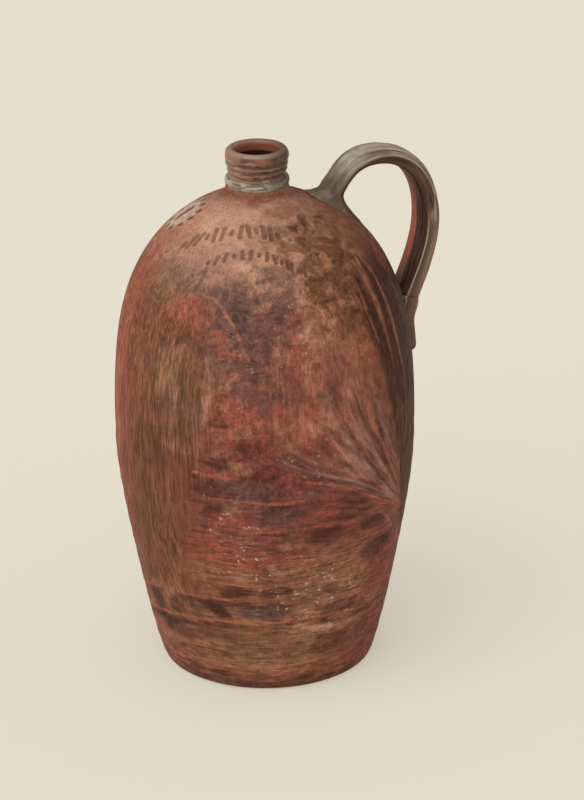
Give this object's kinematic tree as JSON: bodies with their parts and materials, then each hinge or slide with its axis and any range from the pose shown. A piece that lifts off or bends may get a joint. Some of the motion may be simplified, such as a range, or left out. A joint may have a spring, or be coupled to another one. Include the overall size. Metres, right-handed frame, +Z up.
{
  "type": "ceramic jug",
  "caption": "Ovoid stoneware jug with a narrow collared neck, a rolled lip, a clay ring at the neck's foot and one pulled strap handle.",
  "frame": {"origin": "centre of the foot's flat underside, on the jug's axis", "axes": "+Z up along the jug's axis, +X towards the handle"},
  "size_m": [0.191, 0.17, 0.3042],
  "materials": {
    "body_glaze": "mottled red-brown salt glaze, satin, with darker runs and pits",
    "neck_glaze": "brown glaze with grey-tan rib lines",
    "ring_clay": "grey clay, hardly glazed",
    "handle_glaze": "grey-olive glaze with lighter flutes along the strap",
    "root_glaze": "dark grey-brown glaze",
    "tail_glaze": "brown glaze, redder towards the tip"
  },
  "bodies": {
    "root": {"body": "body_glaze", "neck": "neck_glaze", "neck_ring": "ring_clay", "handle": "handle_glaze", "handle_root": "root_glaze", "handle_tail": "tail_glaze"}
  },
  "joints": []
}
